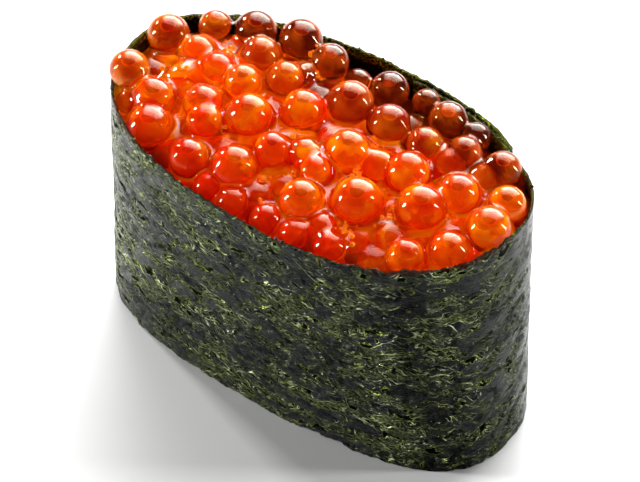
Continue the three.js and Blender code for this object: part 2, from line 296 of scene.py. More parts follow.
def material(name):
    """A material with only its output and Principled shader, its tree and that shader."""
    made = bpy.data.materials.new(name)
    made.use_nodes = True
    tree = made.node_tree
    return made, tree, tree.nodes["Principled BSDF"]


def maths(tree, operation, a, b=0.0):
    return node(tree, "ShaderNodeMath", {0: a, 1: b}, operation=operation).outputs[0]


def plus(tree, a, b):
    return maths(tree, "ADD", a, b)


def minus(tree, a, b):
    return maths(tree, "SUBTRACT", a, b)


def times(tree, a, b):
    return maths(tree, "MULTIPLY", a, b)


def most(tree, a, b):
    return maths(tree, "MAXIMUM", a, b)


def mix(tree, share, low, high):
    """A colour between two; each is a socket or red, green and blue."""
    low, high = [(*colour, 1.0) if isinstance(colour, tuple) else colour for colour in (low, high)]
    return node(tree, "ShaderNodeMix", {0: share, 6: low, 7: high}, data_type="RGBA").outputs[2]


def ramp(tree, value, low, high, to_low=0.0, to_high=1.0):
    """value taken from low..high to to_low..to_high, smoothly and clamped."""
    made = node(tree, "ShaderNodeMapRange",
                {"Value": value, "From Min": low, "From Max": high, "To Min": to_low, "To Max": to_high},
                interpolation_type="SMOOTHSTEP")
    return made.outputs["Result"]


def speckle(tree, vector, scale, detail=4.0, roughness=0.6, distortion=0.0):
    made = node(tree, "ShaderNodeTexNoise",
                {"Vector": vector, "Scale": scale, "Detail": detail, "Roughness": roughness,
                 "Distortion": distortion}, noise_type="FBM", normalize=True)
    return made.outputs["Fac"]


def stored(tree, name, output="Fac"):
    """What mark has stored on the mesh."""
    return node(tree, "ShaderNodeAttribute", attribute_name=name).outputs[output]


def apart(tree, vector):
    """The x, y and z of a vector."""
    return list(node(tree, "ShaderNodeSeparateXYZ", {0: vector}).outputs)


def own_height(tree):
    """How far up its own ball a point is, from -1 to 1."""
    return apart(tree, stored(tree, "local", "Vector"))[2]


def object_place(tree):
    return node(tree, "ShaderNodeTexCoord").outputs["Object"]


# ---- meshes ----

def mesh_piece(name, points, faces, finish, smooth=True):
    """A piece from points in millimetres and faces as index rows."""
    mesh = bpy.data.meshes.new(name)
    mesh.from_pydata((np.asarray(points) * MM).tolist(), [], [list(map(int, f)) for f in faces])
    mesh.materials.append(finish)
    mesh.polygons.foreach_set("use_smooth", [smooth] * len(mesh.polygons))
    mesh.update()
    piece = bpy.data.objects.new(name, mesh)
    bpy.context.collection.objects.link(piece)
    return piece


def mark(mesh, name, values, kind="FLOAT"):
    """Stores a value or vector for each point of a mesh."""
    layer = mesh.attributes.new(name, kind, "POINT")
    field = "vector" if kind == "FLOAT_VECTOR" else "value"
    layer.data.foreach_set(field, np.asarray(values, np.float32).ravel())


def weld(mesh):
    """Joins points that lie on one another, and turns the faces outwards."""
    work = bmesh.new()
    work.from_mesh(mesh)
    bmesh.ops.remove_doubles(work, verts=work.verts, dist=1e-7)
    bmesh.ops.recalc_face_normals(work, faces=work.faces)
    work.to_mesh(mesh)
    work.free()


def geometry_tree(name, numbers):
    """A Geometry Nodes tree with a geometry in and out, and named number inputs."""
    tree = bpy.data.node_groups.new(name, "GeometryNodeTree")
    tree.interface.new_socket("Geometry", in_out="INPUT", socket_type="NodeSocketGeometry")
    for label in numbers:
        tree.interface.new_socket(label, in_out="INPUT", socket_type="NodeSocketFloat")
    tree.interface.new_socket("Geometry", in_out="OUTPUT", socket_type="NodeSocketGeometry")
    return tree, node(tree, "NodeGroupInput"), node(tree, "NodeGroupOutput")


def ball_tree(finish, name="balls", segments=20, rings=12):
    """A ball on each point, as wide as its mark says, that remembers its own directions."""
    tree, start, end = geometry_tree(name, ["Share", "Squash", "Lean", "Long"])
    ball = node(tree, "GeometryNodeMeshUVSphere", {"Segments": segments, "Rings": rings, "Radius": 0.5})
    place = node(tree, "GeometryNodeInputPosition").outputs[0]
    double = node(tree, "ShaderNodeVectorMath", {0: place, "Scale": 2.0}, operation="SCALE").outputs[0]
    kept = node(tree, "GeometryNodeStoreNamedAttribute",
                {"Geometry": ball.outputs["Mesh"], "Name": "local", "Value": double},
                data_type="FLOAT_VECTOR", domain="POINT")
    width = node(tree, "GeometryNodeInputNamedAttribute", {"Name": "width"}, data_type="FLOAT").outputs[0]
    width = times(tree, width, start.outputs["Share"])
    tall = times(tree, width, start.outputs["Squash"])
    long = times(tree, width, start.outputs["Long"])
    size = node(tree, "ShaderNodeCombineXYZ", {"X": long, "Y": width, "Z": tall}).outputs[0]
    lean = start.outputs["Lean"]
    other = times(tree, lean, -1.0)
    low = node(tree, "ShaderNodeCombineXYZ", {"X": other, "Y": other, "Z": -math.pi}).outputs[0]
    high = node(tree, "ShaderNodeCombineXYZ", {"X": lean, "Y": lean, "Z": math.pi}).outputs[0]
    turn = node(tree, "FunctionNodeRandomValue", {"Min": low, "Max": high, "Seed": 7},
                data_type="FLOAT_VECTOR").outputs[0]
    copies = node(tree, "GeometryNodeInstanceOnPoints",
                  {"Points": start.outputs["Geometry"], "Instance": kept.outputs[0],
                   "Rotation": turn, "Scale": size})
    real = node(tree, "GeometryNodeRealizeInstances", {"Geometry": copies.outputs[0]})
    smooth = node(tree, "GeometryNodeSetShadeSmooth", {"Geometry": real.outputs[0]})
    set_finish = node(tree, "GeometryNodeSetMaterial", {"Geometry": smooth.outputs[0], "Material": finish})
    tree.links.new(set_finish.outputs[0], end.inputs[0])
    return tree


def grown(name, points, marks, tree, numbers):
    """A plain mesh grown by a Geometry Nodes tree on points given in millimetres."""
    mesh = bpy.data.meshes.new(name + "_points")
    mesh.from_pydata((np.asarray(points) * MM).tolist(), [], [])
    for label, values in marks.items():
        mark(mesh, label, values)
    piece = bpy.data.objects.new(name, mesh)
    bpy.context.collection.objects.link(piece)
    grow = piece.modifiers.new("grow", "NODES")
    grow.node_group = tree
    for item in tree.interface.items_tree:
        if item.in_out == "INPUT" and item.name in numbers:
            grow[item.identifier] = numbers[item.name]
    seen = piece.evaluated_get(bpy.context.evaluated_depsgraph_get())
    made = bpy.data.meshes.new_from_object(seen)
    piece.modifiers.remove(grow)
    piece.data = made
    made.name = name
    return piece


# ---- the band's outline ----

def waves(rows, heading):
    """Waves round the band, added up at a heading."""
    return sum(size * np.cos(count * heading - math.radians(at)) for count, size, at in rows)


def smoothstep(value, low, high):
    share = np.clip((value - low) / (high - low), 0.0, 1.0)
    return share * share * (3.0 - 2.0 * share)


def oval(shape, rows, heading):
    """A rounded, slightly flared oval."""
    power = 2.0 / shape["squareness"]
    c, s = np.cos(heading), np.sin(heading)
    along = np.sign(c) * np.abs(c) ** power
    across = np.sign(s) * np.abs(s) ** power * (1.0 + FLARE * along)
    swell = 1.0 + waves(rows, heading)
    return shape["length"] / 2 * along * swell, shape["width"] / 2 * across * swell


def wall_line(heading, z):
    """x and y of the band's outline at a height, drawn straight from foot to rim."""
    share = z / HEIGHT
    foot = oval(FOOT, FOOT_WAVES, heading)
    rim = oval(RIM, RIM_WAVES, heading)
    return [f + (r - f) * share for f, r in zip(foot, rim)]


def wall_point(heading, z, offset):
    """x and y on the outer face, moved outwards by offset, before OFF_MIDDLE is taken off."""
    step = 0.01
    after = wall_line(heading + step, z)
    before = wall_line(heading - step, z)
    tx, ty = after[0] - before[0], after[1] - before[1]
    size = np.hypot(tx, ty)
    x, y = wall_line(heading, z)
    return x + ty / size * offset, y - tx / size * offset


def even_headings(first, last, count):
    """Headings that step evenly along the rim, and how far along it each is."""
    samples = 2880
    headings = np.linspace(first, last, samples)
    x, y = wall_line(headings, HEIGHT)
    run = np.concatenate([[0], np.cumsum(np.hypot(np.diff(x), np.diff(y)))])
    stops = np.linspace(0, run[-1], count + 1)
    return np.interp(stops, run, headings), stops


def headings_round(count):
    """Even headings once round the band, without the first again at the end."""
    return even_headings(-math.pi, math.pi, count)[0][:-1]


START = math.radians(LAP_START)
END = math.radians(LAP_END - 360)


def strip_offset(heading):
    """How far the strip's outer face is from the wall's line: in and out by half a step at the lap."""
    lap = math.radians(LAP_START - LAP_END + LAP_SPARE)
    ease = math.radians(LAP_EASE)
    inward = 1 - smoothstep(START - heading, lap, lap + ease)
    outward = 1 - smoothstep(heading - END, lap, lap + ease)
    return LAP_STEP / 2 * (outward - inward)


def inner_face(heading):
    """How far the innermost face of the strip is from the wall's line."""
    travel = np.mod(START - heading, 2 * math.pi)
    return strip_offset(START - travel) - NORI["thick"]


def foot_lift(heading):
    """The notch in the foot: how far the seaweed is off the table."""
    away = heading - math.radians(FOOT_LIFT["heading"])
    away = np.arctan2(np.sin(away), np.cos(away))
    return FOOT_LIFT["height"] * np.exp(-((away / math.radians(FOOT_LIFT["spread"])) ** 2))


# ---- nori: its sheet ----

def wrinkle(run, z):
    """How far the sheet stands off the wall's line: slow waves, creases along the strip and crumple."""
    slow = SLOW_WAVE["height"] * noise.noise(Vector((run / SLOW_WAVE["along"], z / SLOW_WAVE["up"], 3.0)))
    up = z / CREASE["up"] + run / CREASE["slope"]
    crease = noise.noise(Vector((run / CREASE["along"], up, 9.0)))
    fold = -CREASE["depth"] * max(0.0, 1.0 - abs(crease) * CREASE["narrow"]) ** 2
    up = z / CRUMPLE["up"] + run / CRUMPLE["slope"]
    crumple = CRUMPLE["height"] * noise.noise(Vector((run / CRUMPLE["along"], up, 5.0)))
    calm = 1.0 - CALM_RIM["share"] * smoothstep(z, HEIGHT - CALM_RIM["from"], HEIGHT - CALM_RIM["to"])
    return (slow + fold + crumple) * calm


def teeth(rows, runs):
    """The height of a torn edge, from rows of height and length."""
    return np.array([sum(size * noise.noise(Vector((run / length, 0, 21 + length)))
                         for size, length in rows) for run in runs])


def make_nori(finish):
    """The wound sheet: a grid along and up the strip, with an outer and an inner face."""
    columns, rows = NORI["columns"], NORI["rows"]
    headings, runs = even_headings(START, END, columns)
    share = np.linspace(0, 1, rows + 1)
    front = smoothstep(np.cos(headings - math.radians(FRONT["heading"])), -0.2, 0.4)
    front = FRONT["least"] + (1.0 - FRONT["least"]) * front
    ragged = front * teeth(RAGGED, runs) + teeth(FRAYED, runs)
    low = foot_lift(headings) + FOOT_TRIM["height"] + FOOT_TRIM["ragged"] * np.roll(ragged, columns // 3)
    high = HEIGHT + waves(RIM_LIFT, headings) + ragged
    z = np.maximum(low[:, None] + (high - low)[:, None] * share[None, :], 0.0)
    relief = np.array([[wrinkle(run, height) for height in line] for run, line in zip(runs, z)])
    tuck = -NORI["tuck"] * smoothstep(runs, runs[-1] - NORI["tuck_run"], runs[-1])[:, None]
    heading_grid = np.repeat(headings[:, None], rows + 1, axis=1)
    run_grid = np.repeat(runs[:, None], rows + 1, axis=1)
    sheets, strips = [], []
    for side in (0, 1):
        offset = strip_offset(heading_grid) + relief - side * NORI["thick"] + tuck
        x, y = wall_point(heading_grid, z, offset)
        sheets.append(np.stack([x - OFF_MIDDLE, y, z], axis=-1).reshape(-1, 3))
        along = run_grid + side * INNER_PATTERN
        strips.append(np.stack([along, z, np.full_like(z, side)], axis=-1).reshape(-1, 3))
    size = (columns + 1) * (rows + 1)
    at = np.arange(size).reshape(columns + 1, rows + 1)
    a, b, c, d = at[:-1, :-1], at[:-1, 1:], at[1:, 1:], at[1:, :-1]
    quads = [np.stack([a, b, c, d], -1).reshape(-1, 4), size + np.stack([a, d, c, b], -1).reshape(-1, 4)]
    for line, flip in ((at[:, 0], True), (at[:, -1], False), (at[0, :], False), (at[-1, :], True)):
        p, q = line[:-1], line[1:]
        edge = [p, q, q + size, p + size] if flip else [p, p + size, q + size, q]
        quads.append(np.stack(edge, -1))
    piece = mesh_piece("nori_sheet", np.concatenate(sheets), np.concatenate(quads), finish)
    mark(piece.data, "strip", np.concatenate(strips), "FLOAT_VECTOR")
    return piece


def make_crumbs(finish):
    """Frayed bits of seaweed along the rim."""
    draw = np.random.default_rng(5)
    count = CRUMBS["count"]
    samples = 720
    along = CRUMBS["run"] * draw.random(count)
    shares = np.linspace(0, 1, samples + 1)
    headings = np.interp(along, shares, even_headings(START, END, samples)[0])
    x, y = wall_point(headings, HEIGHT, strip_offset(headings) - NORI["thick"] * draw.random(count))
    z = HEIGHT + waves(RIM_LIFT, headings) + draw.uniform(CRUMBS["low"], CRUMBS["high"], count)
    widths = CRUMBS["smallest"] + (CRUMBS["largest"] - CRUMBS["smallest"]) * draw.random(count) ** 2
    points = np.stack([x - OFF_MIDDLE, y, z], -1)
    return grown("nori_crumbs", points, {"width": widths * MM, "tone": draw.random(count)},
                 ball_tree(finish, "crumbs", 8, 6), {"Share": 1.0, "Squash": 0.6, "Lean": 1.2, "Long": 1.6})


# ---- nori: its finish ----

def threads(tree, strip, turn, scale, width, shift, stretch=6.0):
    """Thin lines that run along the strip, turned by some degrees, and beside each a dark gap that is
    painted shadow.
    """
    laid = node(tree, "ShaderNodeMapping",
                {"Vector": strip, "Location": (shift, 0, 0), "Rotation": (0, 0, math.radians(turn)),
                 "Scale": (stretch, 1, 1)}, vector_type="TEXTURE").outputs[0]
    field = minus(tree, speckle(tree, laid, scale, 2.0, 0.5), 0.5)
    broken = ramp(tree, speckle(tree, laid, scale * 0.9, 1.0), 0.45, 0.55)
    bands = []
    for side in (0.5, -0.9):
        off = maths(tree, "ABSOLUTE", minus(tree, field, side * width))
        bands.append(times(tree, ramp(tree, off, 0.2 * width, 0.8 * width, 1.0, 0.0), broken))
    return bands


def several_threads(tree, strip, rows):
    """Families of threads laid over one another: the lines, and the painted shadows beside them."""
    pale, painted_shadow = threads(tree, strip, *rows[0])
    for row in rows[1:]:
        more_pale, more_painted_shadow = threads(tree, strip, *row)
        pale, painted_shadow = most(tree, pale, more_pale), most(tree, painted_shadow, more_painted_shadow)
    return pale, painted_shadow


def nori_spot(tree):
    """Where a point lies: on the strip as it is, stirred, and stirred and drawn out, and on the sushi."""
    flat = stored(tree, "strip", "Vector")
    stir = node(tree, "ShaderNodeTexNoise", {"Vector": flat, "Scale": 0.45, "Detail": 2.0}).outputs["Color"]
    stir = node(tree, "ShaderNodeVectorMath", {0: stir, 1: (0.5, 0.5, 0.5)}, operation="SUBTRACT").outputs[0]
    strip = node(tree, "ShaderNodeVectorMath", {0: stir, 1: (1.6, 2.2, 0.0), 2: flat},
                 operation="MULTIPLY_ADD").outputs[0]
    long = node(tree, "ShaderNodeMapping", {"Vector": strip, "Scale": (0.38, 1.0, 1.0)}).outputs[0]
    _, height, inside = apart(tree, flat)
    x, y, _ = apart(tree, object_place(tree))
    return SimpleNamespace(flat=flat, strip=strip, long=long, height=height, inside=inside, x=x, y=y)


def nori_regions(tree, spot):
    """Shares: fibres over bare film, the front's left end that is painted paler as painted light, the right
    end's gloss, and the back that is painted darker as painted shade.
    """
    slow = minus(tree, speckle(tree, spot.flat, 0.11, 2, 0.5), 0.5)
    fibrous = plus(tree, speckle(tree, spot.long, 0.46, 5, 0.60, 0.3), times(tree, slow, 0.3))
    fibrous = ramp(tree, fibrous, 0.482, 0.542)
    # the front's left end, painted paler there as painted light
    left = ramp(tree, spot.x, *PAINTED_LIGHT_LEFT_END["x"], 1.0, 0.0)
    left = times(tree, left, ramp(tree, spot.y, *PAINTED_LIGHT_LEFT_END["y"], 1.0, 0.0))
    right = plus(tree, times(tree, spot.x, 0.8), times(tree, spot.y, 0.6))
    right = plus(tree, right, times(tree, minus(tree, fibrous, 0.5), -0.0008))
    gloss = ramp(tree, right, *GLOSSY_END)
    # the back of the outer face, painted darker as painted shade
    back = ramp(tree, plus(tree, spot.y, times(tree, spot.x, 0.25)), *PAINTED_SHADE_SIDE, 0.0, 0.70)
    back = times(tree, back, minus(tree, 1.0, spot.inside))
    return SimpleNamespace(slow=slow, fibrous=fibrous, left=left, gloss=gloss, back=back)


def nori_slits(tree, spot, region):
    """Open slits along the strip, painted near black as the shade inside them, and the pale lip round each;
    more at the front's left end.
    """
    drawn = node(tree, "ShaderNodeMapping",
                 {"Vector": spot.strip, "Rotation": (0, 0, 0.3), "Scale": (0.42, 1, 1)}).outputs[0]
    slit = plus(tree, speckle(tree, drawn, 0.70, 4, 0.58, 0.4), times(tree, region.left, 0.014))
    pit = ramp(tree, slit, 0.622, 0.634)
    return pit, minus(tree, ramp(tree, slit, 0.596, 0.618), pit)


def nori_painted_glints(tree, spot):
    """A few bright specks: painted glints."""
    cells = node(tree, "ShaderNodeTexVoronoi", {"Vector": spot.strip, "Scale": 1.3})
    chosen = ramp(tree, apart(tree, cells.outputs["Color"])[0], 0.62, 0.66)
    return times(tree, ramp(tree, cells.outputs["Distance"], 0.07, 0.15, 1.0, 0.0), chosen)


def nori_weave(tree, spot, region):
    """Shares of the sheet's parts: mat, flecks, threads, lips and specks that are painted glints, its holes
    together with the painted shadows in slits and beside threads, and its grain.
    """
    grain = speckle(tree, spot.long, 2.8, 4, 0.75, 0.4)
    grit = speckle(tree, spot.long, 7.0, 2, 0.6)
    few = ramp(tree, region.fibrous, 0.0, 1.0, 0.12, 1.0)
    tangle = ramp(tree, speckle(tree, spot.long, 0.30, 4, 0.65, 0.3), 0.44, 0.60)
    crowd = ramp(tree, plus(tree, tangle, times(tree, region.fibrous, 0.6)), 0.1, 1.0, 0.08, 1.0)
    # gap and narrow are the painted shadow beside each thread
    coarse, gap = [times(tree, band, crowd) for band in several_threads(tree, spot.strip, COARSE_THREADS)]
    fine, narrow = [times(tree, band, few) for band in several_threads(tree, spot.strip, FINE_THREADS)]
    pit, lip = nori_slits(tree, spot, region)
    mat = times(tree, ramp(tree, grain, 0.48, 0.62), ramp(tree, region.fibrous, 0.0, 1.0, 0.14, 1.0))
    fleck = times(tree, ramp(tree, grit, 0.56, 0.64), ramp(tree, region.fibrous, 0.0, 1.0, 0.25, 1.0))
    thin = minus(tree, grain, ramp(tree, region.left, 0.0, 1.0, 0.035, 0.100))
    worn_and_shadow = most(tree, ramp(tree, thin, 0.30, 0.42, 1.0, 0.0), ramp(tree, grit, 0.32, 0.40, 0.8, 0.0))
    # the painted shadow beside fine threads joins the thin spots
    worn_and_shadow = most(tree, times(tree, worn_and_shadow, few), times(tree, narrow, 0.8))
    # holes and thin spots, with the painted shadow of slits and threads
    hole_and_shadow = most(tree, worn_and_shadow, most(tree, gap, pit))
    return SimpleNamespace(grain=grain, grit=grit, coarse=coarse, fine=fine, lip=lip, mat=mat, fleck=fleck,
                           hole_and_shadow=hole_and_shadow, dot=nori_painted_glints(tree, spot))


def nori_outer_colour(tree, spot, region, weave):
    """Charcoal film and olive fibres, pale threads, dark slits and gaps with painted shadow, bright specks
    that are painted glints, and roe stains at the rim; the front's left end is painted paler, as painted
    light.
    """
    tones = NORI_TONES
    colour = mix(tree, region.fibrous, tones["film"], tones["under"])
    colour = mix(tree, weave.mat, colour, mix(tree, region.left, *tones["mat"]))
    colour = mix(tree, weave.fleck, colour, mix(tree, region.left, *tones["fleck"]))
    colour = mix(tree, times(tree, weave.fine, 0.85), colour, mix(tree, region.left, *tones["fine"]))
    colour = mix(tree, times(tree, weave.coarse, 0.95), colour, tones["coarse"])
    colour = mix(tree, times(tree, weave.lip, 0.9), colour, tones["lip"])
    colour = mix(tree, weave.hole_and_shadow, colour, tones["hole_and_shadow"])
    # bright specks, painted glints
    colour = mix(tree, times(tree, weave.dot, 0.9), colour, tones["dot"])
    blots = plus(tree, spot.height, times(tree, speckle(tree, spot.flat, 0.55, 4, 0.65), 4.0))
    stained = ramp(tree, blots, HEIGHT + 1.5, HEIGHT + 1.9)
    return mix(tree, times(tree, stained, 0.8), colour, tones["stain"])


def nori_inner_colour(tree, spot, weave):
    """Dark with the roe's juice, and along the back of the rim a painted glow of light shining through: leaf
    green with bright specks.
    """
    tones = NORI_TONES
    colour = mix(tree, ramp(tree, weave.grain, 0.50, 0.64), tones["inner"], tones["inner_grain"])
    edge = plus(tree, spot.height, times(tree, weave.grain, 2.0))
    edge = times(tree, ramp(tree, edge, HEIGHT - 0.2, HEIGHT + 0.4), ramp(tree, spot.y, -0.006, 0.002))
    # leaf green with bright specks: painted light shining through the back of the rim
    painted_backlight = mix(tree, ramp(tree, weave.grit, 0.54, 0.58), tones["painted_backlight"], tones["painted_backlight_speck"])
    return mix(tree, edge, colour, painted_backlight)


def nori_finish():
    """Dry seaweed: its colours, with painted light at the front's left end and painted shade at the back,
    bare film and holes that shine less, and fine relief.
    """
    made, tree, shader = material("nori")
    spot = nori_spot(tree)
    region = nori_regions(tree, spot)
    weave = nori_weave(tree, spot, region)
    colour = nori_outer_colour(tree, spot, region, weave)
    colour = mix(tree, spot.inside, colour, nori_inner_colour(tree, spot, weave))
    colour = mix(tree, ramp(tree, region.slow, -0.12, 0.10, 0.40, 0.0), colour, NORI_TONES["shade"])
    # painted shade at the back
    colour = mix(tree, region.back, colour, NORI_TONES["back"])
    tree.links.new(colour, shader.inputs["Base Color"])
    bright = most(tree, region.gloss, times(tree, region.left, 0.5))
    bare = times(tree, minus(tree, 1.0, weave.mat), ramp(tree, bright, 0.0, 1.0, 0.85, 0.0))
    tree.links.new(most(tree, weave.hole_and_shadow, bare), shader.inputs["Metallic"])
    shader.inputs["Specular IOR Level"].default_value = 0.30
    rough = most(tree, times(tree, region.fibrous, 0.5), most(tree, weave.coarse, weave.fine))
    rough = plus(tree, ramp(tree, rough, 0.0, 1.0, 0.21, 0.52), times(tree, weave.hole_and_shadow, 0.5))
    rough = times(tree, rough, ramp(tree, region.gloss, 0.0, 1.0, 1.0, 0.42))
    tree.links.new(rough, shader.inputs["Roughness"])
    relief = plus(tree, weave.coarse, times(tree, weave.fine, 0.6))
    relief = plus(tree, relief, times(tree, weave.grain, 1.6))
    relief = minus(tree, relief, times(tree, weave.hole_and_shadow, 0.8))
    bump = node(tree, "ShaderNodeBump", {"Strength": ramp(tree, region.gloss, 0.0, 1.0, 1.0, 0.8),
                                         "Distance": 0.00028, "Height": relief})
    tree.links.new(bump.outputs[0], shader.inputs["Normal"])
    return made


def crumb_finish():
    """Near-black green, with some bits yellow-green and some stained by the roe."""
    made, tree, shader = material("nori_crumb")
    tone = stored(tree, "tone")
    colour = mix(tree, ramp(tree, tone, 0.74, 0.86), (0.007, 0.011, 0.003), (0.20, 0.28, 0.03))
    colour = mix(tree, ramp(tree, tone, 0.93, 0.95), colour, (0.10, 0.016, 0.003))
    tree.links.new(colour, shader.inputs["Base Color"])
    shader.inputs["Roughness"].default_value = 0.35
    shader.inputs["Specular IOR Level"].default_value = 0.35
    return made


# ---- rice ----

def make_rice_core(finish):
    """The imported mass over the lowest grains, up to the roe."""
    columns = RICE["columns"]
    headings = headings_round(columns)
    side = inner_face(headings) - RICE["gap"]
    low = np.full(columns, RICE["low"])
    rings = []
    for share in (0.0, 0.35, 0.7):
        x, y = wall_point(headings, low, side)
        rings.append(np.stack([x * share - OFF_MIDDLE, y * share, low], -1))
    for z in np.linspace(RICE["low"], RICE["top"], RICE["levels"]):
        level = np.full(columns, z)
        x, y = wall_point(headings, level, side)
        rings.append(np.stack([x - OFF_MIDDLE, y, level], -1))
    rings.append(rings[-1] * [0, 0, 1] + [-OFF_MIDDLE, 0, 0])
    faces = []
    for ring in range(len(rings) - 1):
        a, b = ring * columns, (ring + 1) * columns
        faces += [(a + i, a + (i + 1) % columns, b + (i + 1) % columns, b + i) for i in range(columns)]
    core = mesh_piece("rice_core", np.concatenate(rings), faces, finish)
    weld(core.data)
    return core


def keep_inside_foot(mesh):
    """Presses points up to the table, and draws in those that reach past the foot of the wall."""
    places = np.empty(len(mesh.vertices) * 3)
    mesh.vertices.foreach_get("co", places)
    places = places.reshape(-1, 3)
    places[:, 2] = np.maximum(places[:, 2], 0.0)
    middle = OFF_MIDDLE * MM
    squareness = FOOT["squareness"]
    along = np.abs(places[:, 0] + middle) / (MM * (FOOT["length"] / 2 - GRAINS["inside_foot"]))
    across = np.abs(places[:, 1]) / (MM * (FOOT["width"] / 2 - GRAINS["inside_foot"]))
    reach = np.maximum(along ** squareness + across ** squareness, 1.0)
    pull = reach ** (-1 / squareness)
    places[:, 0] = (places[:, 0] + middle) * pull - middle
    places[:, 1] *= pull
    mesh.vertices.foreach_set("co", places.ravel())
    mesh.update()


def make_grains(finish):
    """Two layers of grains on the underside, pressed flat where they stand."""
    points, widths = [], []
    jitter = GRAINS["jitter"]
    for layer, z in enumerate(GRAINS["layers"]):
        for row in range(-6, 7):
            for column in range(-7, 8):
                i = (layer * 13 + row + 6) * 15 + column + 8
                dx, dy, more = [(i * ratio) % 1 for ratio in RATIO]
                x = column + 0.5 * (row % 2) + GRAINS["shift"][0] * layer + jitter * (dx - 0.5)
                y = row + GRAINS["shift"][1] * layer + jitter * (dy - 0.5)
                x, y = x * GRAINS["along"], y * GRAINS["across"]
                if inside_wall(x, y, GRAINS["clearance"]):
                    points.append((x - OFF_MIDDLE, y, z + jitter * more))
                    widths.append((GRAINS["width"] + GRAINS["wider"] * more) * MM)
    grains = grown("rice_grains", points, {"width": widths}, ball_tree(finish, "grains", 14, 8),
                   {"Share": 1.0, "Squash": 1.0, "Lean": 0.22, "Long": 2.0})
    keep_inside_foot(grains.data)
    return grains


def rice_finish():
    """Warm white, a little translucent, moist."""
    made, tree, shader = material("rice")
    place = object_place(tree)
    cloud = speckle(tree, place, 420, 3, 0.6)
    colour = mix(tree, ramp(tree, cloud, 0.3, 0.7), (0.78, 0.75, 0.66), (0.90, 0.88, 0.82))
    tree.links.new(colour, shader.inputs["Base Color"])
    tree.links.new(ramp(tree, cloud, 0.3, 0.7, 0.28, 0.45), shader.inputs["Roughness"])
    shader.inputs["Subsurface Weight"].default_value = 0.25
    shader.inputs["Subsurface Radius"].default_value = (0.0012, 0.0010, 0.0007)
    bump = node(tree, "ShaderNodeBump", {"Strength": 0.5, "Distance": 0.0001,
                                         "Height": speckle(tree, place, 2600, 3, 0.6)})
    tree.links.new(bump.outputs[0], shader.inputs["Normal"])
    return made


# ---- roe: where the eggs lie ----

def heap_height(x, y):
    """The smooth crown that the eggs are set against."""
    along = x / (RIM["length"] / 2)
    across = y / (RIM["width"] / 2)
    rise = CROWN + HEAP_TILT[0] * along + HEAP_TILT[1] * across
    return HEIGHT + rise - HEAP_FALL[0] * along ** 2 - HEAP_FALL[1] * across ** 2


def inside_wall(x, y, clearance):
    """Whether a place lies inside the rim's plain oval by this much."""
    along = abs(x) / (RIM["length"] / 2 - clearance)
    across = abs(y) / (RIM["width"] / 2 - clearance)
    return along ** RIM["squareness"] + across ** RIM["squareness"] < 1


def lay_eggs(eggs, spacing, smallest, largest, sink, tries):
    """Adds eggs by a rule wherever they find room; each is x, y, z and width."""
    laid = list(eggs)
    for i in range(1, tries + 1):
        x = RIM["length"] * ((i * RATIO[0]) % 1 - 0.5)
        y = RIM["width"] * ((i * RATIO[1]) % 1 - 0.5)
        width = smallest + (largest - smallest) * ((i * RATIO[2]) % 1)
        free = all(math.hypot(e[0] - x, e[1] - y) > spacing * (e[3] + width) / 2 for e in laid)
        if free and inside_wall(x, y, EGG_CLEARANCE + width / 2):
            laid.append((x, y, heap_height(x, y) - sink, width))
    return laid


def all_eggs():
    """The eggs that show, those on top first, and then the small ones between and under them."""
    top = [(x, y, heap_height(x, y) + lift, width) for x, y, width, lift in TOP_EGGS + LOW_EGGS]
    return lay_eggs(top, **SMALL_EGG)


def egg_painted_shade(egg):
    """How much painted shade an egg gets: eggs against the strip at the back are painted clear and dark, and
    those at the far left half so.
    """
    x, y, _, _ = egg
    back = smoothstep(y - EGG_PAINTED_SHADE_BACK["lean"] * abs(x), EGG_PAINTED_SHADE_BACK["from"], EGG_PAINTED_SHADE_BACK["to"])
    left = EGG_PAINTED_SHADE_LEFT["share"] * smoothstep(-x, EGG_PAINTED_SHADE_LEFT["from"], EGG_PAINTED_SHADE_LEFT["to"])
    return float(max(back, left))


# ---- roe: the clear skin over eggs and gel ----

def gel_height(x, y):
    """The gel's surface between the eggs: under the crown, low along the back, with waves and pools."""
    dip = smoothstep(y - BACK_DIP["lean"] * np.abs(x), BACK_DIP["starts"], BACK_DIP["ends"])
    level = heap_height(x, y) - GEL_DEPTH - BACK_DIP["depth"] * dip
    for kx, ky, phase, size in GEL_WAVES:
        level = level + size * np.sin(kx * x + ky * y + phase)
    for px, py, spread, rise in GEL_POOLS:
        level = level + rise * np.exp(-((x - px) ** 2 + (y - py) ** 2) / spread ** 2)
    return level


def smooth_min(a, b, blend):
    """The lesser of two fields, rounded over where they meet."""
    share = np.clip(0.5 + 0.5 * (b - a) / blend, 0, 1)
    return b + (a - b) * share - blend * share * (1 - share)


